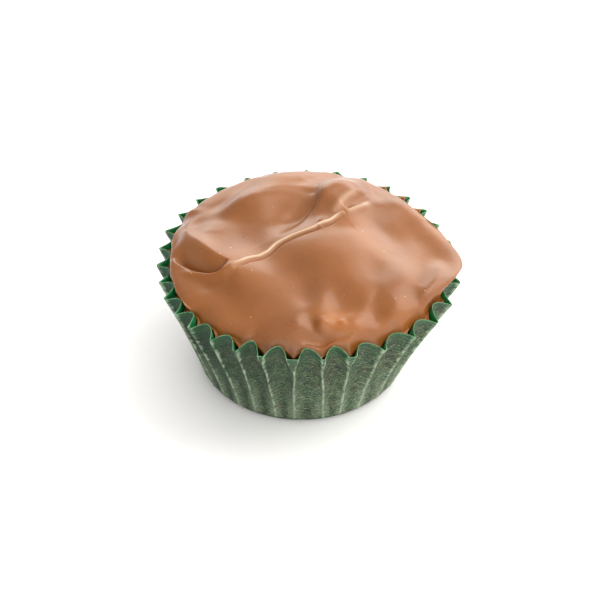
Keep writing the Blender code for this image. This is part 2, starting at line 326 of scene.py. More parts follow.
# Round bumps and dents: place across and back, radius across and back, height
SPOTS = (
    (6.4, -16.7, 3.3, 2.3, 0.25),
    (3.9, -16.9, 1, 1.6, 0.16),
    (10.3, -15.9, 1.6, 1.9, 0.37),
    (0.2, -18.1, 1.6, 1.5, 0.25),
    (9.7, -16.6, 2.5, 1.8, 0.25),
    (0.1, -17.6, 1.5, 1.7, 0.27),
    (1.8, -19.6, 0.9, 1.2, 0.25),
    (6.0, -17.0, 0.6, 0.6, 0.22),
    (7.7, -13.6, 2.2, 2.4, -0.33),
    (12.3, -13.2, 1.6, 2, -0.30),
    (14.8, -12.8, 1.6, 1.8, 0.22),
    (0.6, -12.9, 1.4, 1.9, -0.12),
    (3.0, 4.1, 0.6, 0.6, 0.3),
    (2.6, 2.7, 0.5, 0.4, 0.25),
    (-20.2, 0.6, 1.1, 2.4, 0.48),
    (13.9, -1.6, 1.6, 1.6, -0.06),
    (11, -2.2, 3, 3, 0.15),
    (4, -6.5, 4, 2.4, -0.23),
    (-8.5, -11.5, 4, 2.2, -0.20),
    (4, 6.8, 1.4, 2.6, -0.18),
)
# Broad lumps and dents of the dome: place across and back, half length and half width, how many degrees
# the long way is turned from straight right, height. A least-squares fit to the shading of the photograph
# gave these rows, so a row alone is not one lump of the real candy.
LUMPS = (
    (-8.8, 7.7, 7.5, 15.0, 9, -2.14),
    (-22.9, 9.8, 2.2, 9.8, 75, -2.10),
    (16.3, 4.1, 15.0, 11.2, 66, -2.32),
    (3.4, -12.3, 4.2, 14.6, 47, -1.90),
    (-4.0, -14.1, 5.5, 14.0, 93, -1.65),
    (-9.4, 9.9, 9.4, 3.1, 121, 0.63),
    (13.4, 4.4, 4.0, 10.5, 27, -1.66),
    (-6.2, 16.3, 2.6, 5.4, 91, 0.91),
    (-18.1, 1.0, 8.7, 2.2, 119, 1.58),
    (-3.6, 10.5, 14.6, 3.8, 0, 1.67),
    (8.8, -18.7, 7.2, 4.1, 45, 2.31),
    (-17.8, -5.0, 12.9, 4.7, 97, -1.00),
    (2.8, -12.8, 3.6, 2.1, 90, 1.04),
    (11.5, -6.2, 5.8, 3.3, 83, -1.18),
    (-0.4, 9.5, 7.8, 4.5, 59, -2.19),
    (-12.5, 10.5, 4.6, 2.1, 43, -1.41),
    (5.6, 12.8, 3.2, 2.1, 33, 1.19),
    (-10.2, 16.2, 10.4, 1.1, 30, 0.33),
    (-16.7, 8.0, 4.4, 1.9, 1, 1.30),
    (2.7, -17.5, 1.0, 1.1, 167, 0.61),
    (9.2, 16.6, 10.3, 1.6, 81, 0.31),
    (2.0, -19.3, 2.5, 1.2, 5, -1.64),
    (11.2, -15.2, 2.1, 1.9, 101, -1.22),
    (0.9, -17.5, 1.5, 1.5, 32, -0.97),
    (4.1, 17.5, 6.3, 1.3, 35, -0.43),
    (9.2, -15.8, 1.9, 1.1, 100, -0.37),
    (-20.1, 4.4, 4.1, 1.1, 86, -1.20),
    (10.4, -15.9, 4.0, 1.1, 77, -0.51),
    (21.4, 3.5, 6.8, 1.6, 119, 0.24),
    (-13.4, -9.1, 5.7, 2.0, 126, -1.18),
    (10.7, 13.2, 2.2, 1.5, 140, -0.30),
    (20.6, -8.8, 4.2, 1.3, 62, 0.62),
    (-1.4, -19.8, 3.7, 6.2, 176, 0.72),
    (3.4, 9.9, 2.0, 1.8, 109, 0.54),
    (6.7, 3.1, 3.9, 1.7, 13, -0.18),
    (14.8, 11.8, 2.7, 2.7, 118, 0.34),
    (-5.9, -19.2, 2.6, 2.8, 119, 0.53),
    (-6.3, 17.2, 0.8, 1.2, 41, -0.17),
)
# The chocolate folded over on itself: it stands higher behind the fold than in front
FOLD_STEP = (-0.5, 0.3)
FOLD_ENDS = (0.3, 0.93)
FOLD_BEHIND = 0.12
FOLD_BEHIND_WIDTH = 2.4
FOLD_FRONT = -0.10
FOLD_FRONT_WIDTH = 3.4
# The hollow lies in front of the brow, with a long wall at its left and a short one at its right, and
# ends at the groove
HOLLOW_DEPTH = 0.10
HOLLOW_START = (-17.0, -10.0)
HOLLOW_SLOPE = (4.6, 2.0)
HOLLOW_SLOPE_CHANGE = (-10.0, 0.0)
HOLLOW_FRONT = (0.5, 7.5)
GROOVE_WALL = (-0.4, 0.3)
# The pocket at the left: a straight wall from its sharp edge down to its foot beside the bead
POCKET_DEPTH = 1.8
POCKET_CURVE = 1.35
POCKET_ENDS = (0.05, 0.95)
POCKET_LIP = 0.55
POCKET_RIM = (-21.3, -18.4)

# Mesh fineness
PAPER_STEPS = 20
PAPER_ROWS = 56
CHOCOLATE_STEPS = 15
TOP_RINGS = 190
SIDE_ROWS = 14

# Camera, fitted to the rim and base outlines in the photograph
CAMERA_ELEVATION = math.radians(39.5)
CAMERA_DISTANCE = 720 * MM
CAMERA_LENS = 273.6
CAMERA_SENSOR = 36.0
IMAGE_SIDE = 600
SHIFT_RIGHT = -3.6 / IMAGE_SIDE
SHIFT_UP = -35.9 / IMAGE_SIDE

# Daylight through a window is a little warm
ROOM_LIGHT = "#fffdf6"
SOFTBOX_LIGHT = "#fffaf0"
# The room is brighter on the right, where the window is
ROOM_STRENGTH = 1.22
ROOM_BRIGHTER_RIGHT = 0.72
# Painted shade on the paper's left side, where less light falls: from where it starts near the middle to
# where it is full at the left
LEFT_PAINTED_SHADE = (4 * MM, -15 * MM)
LEFT_PAINTED_SHADE_SHARE = 0.72
FLOOR_HALF_SIDE = 3.0

random = np.random.default_rng(32)
LEAN = random.uniform(-1, 1, FLUTES)
WANDER = random.uniform(-1, 1, (3, FLUTES))
LOBE_SIZE = random.uniform(-1, 1, FLUTES)
LOBE_TOP = random.uniform(-1, 1, FLUTES)
FLATNESS = random.uniform(-1, 1, FLUTES)


def waves(angle, shares):
    return sum(c * np.cos(n * angle) + s * np.sin(n * angle) for n, c, s in shares)


def even_angle(turn):
    """The angle of a place round the rim, counted in flutes, before the flutes crowd together."""
    return FIRST_FOLD + 2 * math.pi * turn / FLUTES


def real_angle(turn):
    even = even_angle(turn)
    return even + waves(even, CROWDING)


def turned_from(angle, direction):
    """How many degrees an angle in radians lies from a direction in degrees, between -180 and 180."""
    return (np.degrees(angle) - direction + 180) % 360 - 180


def rise(value, low, high):
    """0 below low and 1 above high, with a smooth step between."""
    share = np.clip((value - low) / (high - low), 0, 1)
    return share * share * (3 - 2 * share)


def bell(value, width):
    return np.exp(-((value / width) ** 2))


def by_fold(values, turn):
    """Values given at whole flutes, blended smoothly for the places between them."""
    low = np.floor(turn).astype(int)
    share = rise(turn - low, 0, 1)
    return values[low % FLUTES] * (1 - share) + values[(low + 1) % FLUTES] * share


def shifts(table):
    values = np.zeros(FLUTES)
    for fold, shift in table.items():
        values[fold] = shift
    return values


def lobe(turn, flat=0.0):
    """0 on a sharp outward fold and 1 in the middle of the broad lobe between two folds."""
    away = np.abs((turn + 0.5) % 1 - 0.5)
    away = np.clip(away - flat / 2, 0, 0.5) / (0.5 - flat / 2) / 2
    swell = np.hypot(np.sin(math.pi * away), CREASE_ROUNDNESS) - CREASE_ROUNDNESS
    return (swell / (math.hypot(1, CREASE_ROUNDNESS) - CREASE_ROUNDNESS)) ** LOBE_FULLNESS


def rim_point(turn, inward):
    """Radius and height of the case's rim. A lobe stands steeper than a fold on a wall of one length,
    so it also stands higher."""
    even = even_angle(turn)
    fold_radius = RIM_RADIUS * (1 + waves(even, OUT_OF_ROUND))
    fold_height = RIM_HEIGHT + RIM_RADIUS * waves(even, RIM_ROLL)
    pressed = turned_from(even, PRESSED_DIRECTION) / PRESSED_WIDTH
    fold_height = fold_height - PRESSED_DEPTH * np.exp(-(pressed**2))
    slant = np.hypot(fold_radius - BASE_RADIUS, fold_height)
    radius = fold_radius - inward
    return radius, np.sqrt(slant**2 - (radius - BASE_RADIUS) ** 2)


def chocolate_side(turn, level, scallop):
    """Radius of the chocolate's side at a height. It goes part of the way into each fold."""
    radius, height = rim_point(turn, FLUTE_DEPTH - scallop * (1 - lobe(turn)))
    share = level / height
    lean = np.arctan2(radius - BASE_RADIUS, height)
    return BASE_RADIUS + (radius - BASE_RADIUS) * share - (PAPER + GAP) * SIDE_EASE / np.cos(lean)


def open_front(turn):
    """1 in the middle of the front, where the chocolate stops inside the paper, and 0 elsewhere."""
    return bell(turned_from(real_angle(turn), OPEN_DIRECTION), OPEN_WIDTH)


def edge_level(turn):
    """Height of the line where the chocolate's top meets the paper: lowest at the front left."""
    even = even_angle(turn)
    fold_height = RIM_HEIGHT + RIM_RADIUS * waves(even, RIM_ROLL)
    return fold_height + EDGE_RAISED * open_front(turn) - EDGE_SWING * np.cos(even - EDGE_LOWEST)


def curve_through(points, steps=12):
    """A smooth line through points, as many short steps (Catmull-Rom)."""
    p = np.array([points[0], *points, points[-1]], float)
    p[0] = 2 * p[1] - p[2]
    p[-1] = 2 * p[-2] - p[-3]
    t = np.linspace(0, 1, steps, endpoint=False)[:, None]
    parts = []
    for a, b, c, d in zip(p, p[1:], p[2:], p[3:]):
        slope = (c - a) / 2
        bend = a - 2.5 * b + 2 * c - d / 2
        twist = 1.5 * (b - c) + (d - a) / 2
        parts.append(b + t * slope + t**2 * bend + t**3 * twist)
    return np.concatenate([*parts, p[-2:-1]])


def beside(x, y, points):
    """Distance from a path, positive on its left, and the share of the way along it."""
    line = curve_through(points)
    start = line[:-1]
    step = line[1:] - start
    best = np.full(np.shape(x), np.inf)
    left = np.zeros(np.shape(x))
    along = np.zeros(np.shape(x))
    for i, ((px, py), (sx, sy)) in enumerate(zip(start, step)):
        share = np.clip(((x - px) * sx + (y - py) * sy) / (sx * sx + sy * sy), 0, 1)
        away_x = x - px - share * sx
        away_y = y - py - share * sy
        away = np.hypot(away_x, away_y)
        nearer = away < best
        best = np.where(nearer, away, best)
        left = np.where(nearer, np.sign(sx * away_y - sy * away_x), left)
        along = np.where(nearer, (i + share) / len(step), along)
    return best * left, along


def over_length(along, full, fading):
    """1 along the middle of a path and 0 past its ends."""
    return rise(along, 0, full) * (1 - rise(along, fading, 1))


def relief(x, y):
    """Height of the top's folds, hollows and lumps over the plain dome, all in metres."""
    x = x / MM
    y = y / MM
    height = 0.0 * x
    for path, tall, left, right, full, fading in RIDGES:
        away, along = beside(x, y, path)
        height += tall * bell(away, np.where(away > 0, left, right)) * over_length(along, full, fading)
    for across, back, wide, deep, tall in SPOTS:
        height += tall * bell(np.hypot((x - across) / wide, (y - back) / deep), 1)
    for across, back, half_long, half_wide, turned, tall in LUMPS:
        lengthways = math.cos(math.radians(turned)), math.sin(math.radians(turned))
        long_way = (x - across) * lengthways[0] + (y - back) * lengthways[1]
        wide_way = (y - back) * lengthways[0] - (x - across) * lengthways[1]
        height += tall * bell(np.hypot(long_way / half_long, wide_way / half_wide), 1)

    fold, along = beside(x, y, FOLD_PATH)
    behind = rise(fold, *FOLD_STEP)
    step = FOLD_BEHIND * behind * bell(fold, FOLD_BEHIND_WIDTH)
    step += FOLD_FRONT * (1 - behind) * bell(fold, FOLD_FRONT_WIDTH)
    height += step * over_length(along, *FOLD_ENDS)

    groove, _ = beside(x, y, GROOVE_PATH)
    left_of_groove = 1 - rise(groove, *GROOVE_WALL)
    brow, _ = beside(x, y, BROW_PATH)
    long_wall, short_wall = HOLLOW_SLOPE
    wall = long_wall + (short_wall - long_wall) * rise(x, *HOLLOW_SLOPE_CHANGE)
    floor = rise(-brow / wall, 0, 1) * rise(fold, *HOLLOW_FRONT) * rise(x, *HOLLOW_START)
    height -= HOLLOW_DEPTH * floor * left_of_groove

    edge, along = beside(x, y, POCKET_PATH)
    foot, _ = beside(x, y, POCKET_FOOT)
    below_edge = np.clip(-edge, 0, None)
    above_foot = np.clip(foot, 0, None)
    down = (below_edge / (below_edge + above_foot + NEARLY_NOTHING)) ** POCKET_CURVE
    down = down * bell(np.clip(-foot, 0, None), POCKET_LIP)
    height -= POCKET_DEPTH * down * over_length(along, *POCKET_ENDS) * rise(x, *POCKET_RIM)
    return height * MM


def painted_highlight_share(x, y):
    """How much painted highlight each place gets along the thin edges, 0 to 1."""
    thin = 0.0 * x
    for path, width, paler in PAINTED_HIGHLIGHT_LINES:
        away, along = beside(x / MM, y / MM, path)
        thin = np.maximum(thin, paler * bell(away, width) * over_length(along, *PAINTED_HIGHLIGHT_ENDS))
    return thin


def painted_glow_share(x, y):
    """How much painted warm glow each place gets, most at the middle of the front almond, 0 to 1."""
    across, back, wide, deep = ALMOND_PAINTED_GLOW
    return bell(np.hypot((x / MM - across) / wide, (y / MM - back) / deep), 1)


def overhang(angle):
    """How far the chocolate runs out over the rim, as a smooth blend of the reaches named above."""
    total = 0.0
    weight = NEARLY_NOTHING
    for direction, reach in OVERHANG_REACH:
        near = bell(turned_from(angle, direction), OVERHANG_WIDTH)
        total = total + near * reach
        weight = weight + near
    return total / weight * MM


def top_point(turn, ring, edge=None):
    """A point of the chocolate's top. ring is 0 in the middle and 1 at the paper; edge is the radius of
    the edge, where the paper leaves less room than usual."""
    angle = real_angle(turn)
    level = edge_level(turn)
    scalloped = chocolate_side(turn, level, SCALLOP) if edge is None else edge
    smooth = chocolate_side(turn, level, 0)
    reach = overhang(angle)
    fade = SCALLOP_FADE + SCALLOP_FADE_OVERHANG * reach / MM
    radius = ring * (smooth + (scalloped - smooth) * ring**fade)
    share = radius / smooth
    shoulder = SHOULDER + (EASED_SHOULDER - SHOULDER) * open_front(turn)
    rounded = 1 - np.minimum(share, 1) ** shoulder
    dipped = shoulder * EDGE_DIP * (1 - np.exp(-np.maximum(share - 1, 0) / EDGE_DIP))
    dipped = dipped * (1 - rise(reach, 0, EDGE_DIP_OVERHANG))
    height = level + (RIM_HEIGHT + CROWN - level) * (rounded - dipped)
    beyond = ring - OVERHANG_RING
    towards_middle, towards_paper = OVERHANG_SPREAD
    spread = np.where(beyond < 0, towards_middle, towards_paper - OVERHANG_TUCK * reach / MM)
    near_ring = bell(beyond, spread)
    radius = radius + reach * near_ring
    height = height - DROOP * bell(turned_from(angle, DROOP_DIRECTION), DROOP_WIDTH) * near_ring
    x = radius * np.cos(angle)
    y = radius * np.sin(angle)
    height = height + relief(x, y) * (1 - rise(ring, RELIEF_KEPT, 1))
    lobe_radius, lobe_height = rim_point(turn, FLUTE_DEPTH)
    lies = rise(radius - lobe_radius, *LIES_FROM) * rise(reach * near_ring, *LIES_REACH)
    lift = np.maximum(lobe_height + GAP + LIES_ABOVE - height, 0)
    return np.stack([x, y, height + lift * lies], axis=-1)


def piece_of_rings(name, rings, marks):
    """A closed smooth mesh through rings of points, from a bottom point to a top point. marks holds one
    value a point for each named mark that a material reads."""
    rows, around = rings.shape[:2]
    points = rings.reshape(-1, 3)
    row, col = np.meshgrid(np.arange(rows - 1), np.arange(around), indexing="ij")
    after = (col + 1) % around
    corners = (row * around + col, row * around + after, (row + 1) * around + after, (row + 1) * around + col)
    quads = np.stack(corners, axis=-1).reshape(-1, 4)
    ends = np.array([rings[0].mean(axis=0), rings[-1].mean(axis=0)])
    turn = np.arange(around)
    first_fan = np.stack([0 * turn + rows * around, (turn + 1) % around, turn], axis=-1)
    last = (rows - 1) * around
    last_fan = np.stack([0 * turn + rows * around + 1, last + turn, last + (turn + 1) % around], axis=-1)
    faces = [*quads.tolist(), *first_fan.tolist(), *last_fan.tolist()]
    mesh = bpy.data.meshes.new(name)
    mesh.from_pydata(np.concatenate([points, ends]).tolist(), [], faces)
    for mark, values in marks.items():
        flat = values.reshape(rows * around, -1)
        flat = np.concatenate([flat, flat[:1], flat[-1:]])
        kind = "FLOAT" if flat.shape[1] == 1 else "FLOAT_VECTOR"
        layer = mesh.attributes.new(mark, kind, "POINT")
        layer.data.foreach_set("value" if kind == "FLOAT" else "vector", flat.astype(np.float32).ravel())
    mesh.shade_smooth()
    piece = bpy.data.objects.new(name, mesh)
    bpy.context.scene.collection.objects.link(piece)
    return piece


def polar(angle, radius, height):
    return np.stack([radius * np.cos(angle), radius * np.sin(angle), height + 0 * angle], axis=-1)


def paper_sheet():
    """Points on the outside of the paper from the middle of the base to the rim, and for each one its
    place on the flat sheet and how near it is to a fold, in millimetres."""
    turn = np.arange(FLUTES * PAPER_STEPS) / PAPER_STEPS
    bulge = 1 + waves(even_angle(turn), BASE_BULGE)
    bend = np.linspace(0, math.pi / 2, 5)[1:-1]
    rows = [(BASE_RADIUS - CORNER) * np.linspace(0.05, 1, 5), BASE_RADIUS - CORNER + CORNER * np.sin(bend)]
    floor_radius = np.concatenate(rows)
    floor_height = np.concatenate([0 * rows[0], CORNER * (1 - np.cos(bend))])
    share = np.linspace(CORNER / RIM_HEIGHT, 1, PAPER_ROWS)[:, None]
    slow = np.sin(2.1 * math.pi * share)
    quick = np.sin(4.6 * math.pi * share + 3 * by_fold(WANDER[2], turn))
    wander = by_fold(WANDER[0], turn) * slow + by_fold(WANDER[1], turn) * quick
    shift = by_fold(shifts(RIM_SHIFT), turn) * share + by_fold(shifts(BASE_SHIFT), turn) * (1 - share)
    place = turn + shift + FOLD_WANDER * wander * share + FOLD_LEAN * by_fold(LEAN, turn) * (1 - share)
    flat = FLAT_FOLD * (1 + by_fold(FLATNESS, turn)) + by_fold(shifts(FLAT_FOLDS), turn)
    flat = flat * rise(share, *FLAT_FOLD_HEIGHT)
    swell = lobe(turn, flat)
    depth = FLUTE_DEPTH * (1 + LOBE_SPREAD * by_fold(LOBE_SIZE, turn)) * swell
    radius, height = rim_point(turn, depth)
    height = height + RIM_UNEVEN * by_fold(LOBE_TOP, turn + 0.5) * swell
    radius = BASE_RADIUS * bulge * (1 - share) + radius * share - FLARE * 4 * share * (1 - share)
    height = height * share
    wall = polar(real_angle(place), radius, height)
    under = [polar(real_angle(turn), r * bulge, h) for r, h in zip(floor_radius, floor_height)]
    rings = np.concatenate([np.array(under), wall])

    along = np.linalg.norm(np.diff(rings, axis=0), axis=-1).cumsum(axis=0)
    along = np.concatenate([0 * along[:1], along]) / MM
    sheet_x = np.broadcast_to(turn * 2 * math.pi * RIM_RADIUS / FLUTES / MM, along.shape)
    fold = np.abs((turn + 0.5) % 1 - 0.5)
    fold = np.abs(fold - flat / 2) * 2 * math.pi * radius / FLUTES / MM
    fold = np.concatenate([np.full((len(floor_radius), len(turn)), FAR), fold])
    return rings, sheet_x, along, fold


def inside_of(rings, thickness):
    """The rings moved inwards by the paper's thickness, square to the sheet."""
    up = np.gradient(rings, axis=0)
    round_way = np.roll(rings, -1, axis=1) - np.roll(rings, 1, axis=1)
    square = np.cross(round_way, up)
    square /= np.linalg.norm(square, axis=-1, keepdims=True)
    return rings - square * thickness


def out_and_in(values):
    """Values of the outside, carried over the cut edge and back down the inside."""
    return np.concatenate([values, values[-1:], values[::-1]])


def paper_case(material):
    """The fluted case, a sheet with an outside, a cut edge and an inside. Gives back its lining too."""
    outer, sheet_x, along, fold = paper_sheet()
    inner = inside_of(outer, PAPER)
    edge = (outer[-1] + inner[-1]) / 2 + [0, 0, PAPER / 4]
    rings = np.concatenate([outer, edge[None], inner[::-1]])
    side = np.concatenate([0 * along, 0 * along[-1:] + 0.5, 0 * along + 1])
    from_edge = along[-1:] - along
    marks = {
        "sheet": np.stack([out_and_in(sheet_x), out_and_in(along), side], axis=-1),
        "fold": out_and_in(fold),
        "edge": out_and_in(from_edge),
        "inside": side,
    }
    piece = piece_of_rings("paper_case_fluted", rings, marks)
    piece.data.materials.append(material)
    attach(piece, "root")
    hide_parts("paper_case")
    return inner


def room_inside(paper, angle, height):
    """Least radius of the paper's inside near each direction, at the height given for that direction."""
    around = np.unwrap(np.arctan2(paper[..., 1], paper[..., 0]), axis=0)
    radius = np.hypot(paper[..., 0], paper[..., 1])
    wanted = np.interp(around[-1], angle, height, period=2 * math.pi)
    columns = range(paper.shape[1])
    at_angle = [np.interp(wanted[i], paper[:, i, 2], around[:, i]) for i in columns]
    at_radius = [np.interp(wanted[i], paper[:, i, 2], radius[:, i]) for i in columns]
    near = (-ROOM_ASIDE, -ROOM_ASIDE / 2, 0, ROOM_ASIDE / 2, ROOM_ASIDE)
    room = [np.interp(angle + aside, at_angle, at_radius, period=2 * math.pi) for aside in near]
    return np.min(room, axis=0)


def chocolate(paper, material):
    """The body of chocolate, set inside the given lining of the paper case."""
    turn = np.arange(FLUTES * CHOCOLATE_STEPS) / CHOCOLATE_STEPS
    angle = real_angle(turn)
    bottom = PAPER + GAP
    first = bottom + FOOT_RISE
    rings = [polar(angle, BASE_RADIUS - CORNER - FOOT_INSET, bottom)]
    for share in np.linspace(0, 1, SIDE_ROWS):
        level = first + (edge_level(turn) - first) * share
        side = np.minimum(chocolate_side(turn, level, SCALLOP), room_inside(paper, angle, level) - GAP)
        rings.append(polar(angle, side, level))
    grid_turn, grid_ring = np.meshgrid(turn, np.linspace(1, 1 / TOP_RINGS, TOP_RINGS))
    rings = np.concatenate([np.array(rings[:-1]), top_point(grid_turn, grid_ring, side)])
    across, back = rings[..., 0], rings[..., 1]
    # thin holds the painted highlight lines, almond the painted warm glow
    marks = {"thin": painted_highlight_share(across, back), "almond": painted_glow_share(across, back)}
    piece = piece_of_rings("chocolate_dipped", rings, marks)
    piece.data.materials.append(material)
    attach(piece, "root")
    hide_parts("chocolate")


def linear(hex_colour):
    """Linear red, green, blue and alpha of an sRGB hex colour."""
    channels = [int(hex_colour[i : i + 2], 16) / 255 for i in (1, 3, 5)]
    return (*[c / 12.92 if c <= 0.04045 else ((c + 0.055) / 1.055) ** 2.4 for c in channels], 1.0)


def put(tree, kind, inputs=None, **settings):
    """Adds a node. Each input is a socket to link from, or a value; its key is a socket's name or number."""
    made = tree.nodes.new(kind)
    for name, value in settings.items():
        setattr(made, name, value)
    for key, value in (inputs or {}).items():
        if isinstance(value, bpy.types.NodeSocket):
            tree.links.new(value, made.inputs[key])
        else:
            made.inputs[key].default_value = value
    return made


def new_material(name):
    material = bpy.data.materials.new(name)
    material.use_nodes = True
    return material, material.node_tree, material.node_tree.nodes["Principled BSDF"]


def blend_colours(tree, share, low, high):
    """Colour between low and high by a share. Each is a socket or a linear colour."""
    return put(tree, "ShaderNodeMix", {0: share, 6: low, 7: high}, data_type="RGBA").outputs[2]


def remapped(tree, value, low, high, to_low=0.0, to_high=1.0):
    spread = {"Value": value, "From Min": low, "From Max": high, "To Min": to_low, "To Max": to_high}
    return put(tree, "ShaderNodeMapRange", spread).outputs[0]


def milk_chocolate():
    """Tempered milk chocolate, dipped by hand and set in cool air. The eye sees a soft satin gloss that
    spreads wide on the flowing shape, a warm brown that light enters a little way, and faint patches
    of uneven stirring. Pale lines along thin edges and a warm glow over the front almond are painted light."""
    material, tree, shader = new_material("milk_chocolate_hand_dipped")
    place = put(tree, "ShaderNodeTexCoord").outputs["Object"]
    # Cocoa mass stirred unevenly gives patches about 9 mm wide
    stirred = put(tree, "ShaderNodeTexNoise", {"Vector": place, "Scale": 1 / (9 * MM), "Detail": 3.0})
    patches = remapped(tree, stirred.outputs[0], 0.35, 0.65)
    colour = blend_colours(tree, patches, linear("#7e481a"), linear("#8c521f"))
    # Sugar and milk grains are 0.02 mm wide; 0.25 mm is the finest grain that shows
    grain = put(tree, "ShaderNodeTexNoise", {"Vector": place, "Scale": 1 / (0.25 * MM), "Detail": 2.0})
    milk = remapped(tree, grain.outputs[0], 0.6, 0.8, 0, 0.12)
    colour = blend_colours(tree, milk, colour, linear("#bb8e63"))
    # A few crumbs of sugar and air pinholes, 0.2 mm wide and some 5 mm apart
    crumbs = put(tree, "ShaderNodeTexVoronoi", {"Vector": place, "Scale": 1 / (1.6 * MM)})
    speck = remapped(tree, crumbs.outputs["Distance"], 0.04, 0.09, 0.8, 0)
    rare = put(tree, "ShaderNodeSeparateColor", {0: crumbs.outputs["Color"]})
    kept = put(tree, "ShaderNodeMath", {0: rare.outputs[0], 1: 0.8}, operation="GREATER_THAN").outputs[0]
    speck = put(tree, "ShaderNodeMath", {0: speck, 1: kept}, operation="MULTIPLY").outputs[0]
    colour = blend_colours(tree, speck, colour, linear("#d9b48c"))
    # Painted warm light over the front almond
    almond = put(tree, "ShaderNodeAttribute", attribute_name="almond").outputs["Fac"]
    colour = blend_colours(tree, remapped(tree, almond, 0, 1, 0, 0.5), colour, linear("#b36d30"))
    # Painted highlights: paler lines along the thin bead and the scoop's rims, where they catch the light
    thin = put(tree, "ShaderNodeAttribute", attribute_name="thin").outputs["Fac"]
    colour = blend_colours(tree, thin, colour, linear("#dcc4aa"))
    tree.links.new(colour, shader.inputs["Base Color"])
    # The coat dried a little duller in places
    tree.links.new(remapped(tree, stirred.outputs[0], 0.3, 0.7, 0.27, 0.34), shader.inputs["Roughness"])
    shader.inputs["IOR"].default_value = 1.5
    shader.inputs["Sheen Weight"].default_value = 0.04
    shader.inputs["Sheen Roughness"].default_value = 0.35
    shader.inputs["Subsurface Weight"].default_value = 0.28
    shader.inputs["Subsurface Radius"].default_value = (1.0, 0.45, 0.22)
    shader.inputs["Subsurface Scale"].default_value = 1.2 * MM
    # The skin shrank as it set, in ripples about 1.5 mm wide
    ripple = put(tree, "ShaderNodeTexNoise", {"Vector": place, "Scale": 1 / (1.5 * MM), "Detail": 2.0})
    skin = put(tree, "ShaderNodeBump", {"Height": ripple.outputs[0], "Strength": 0.5, "Distance": 0.05 * MM})
    pores = {"Height": grain.outputs[0], "Normal": skin.outputs[0], "Strength": 0.4, "Distance": 0.01 * MM}
    tree.links.new(put(tree, "ShaderNodeBump", pores).outputs[0], shader.inputs["Normal"])
    return material


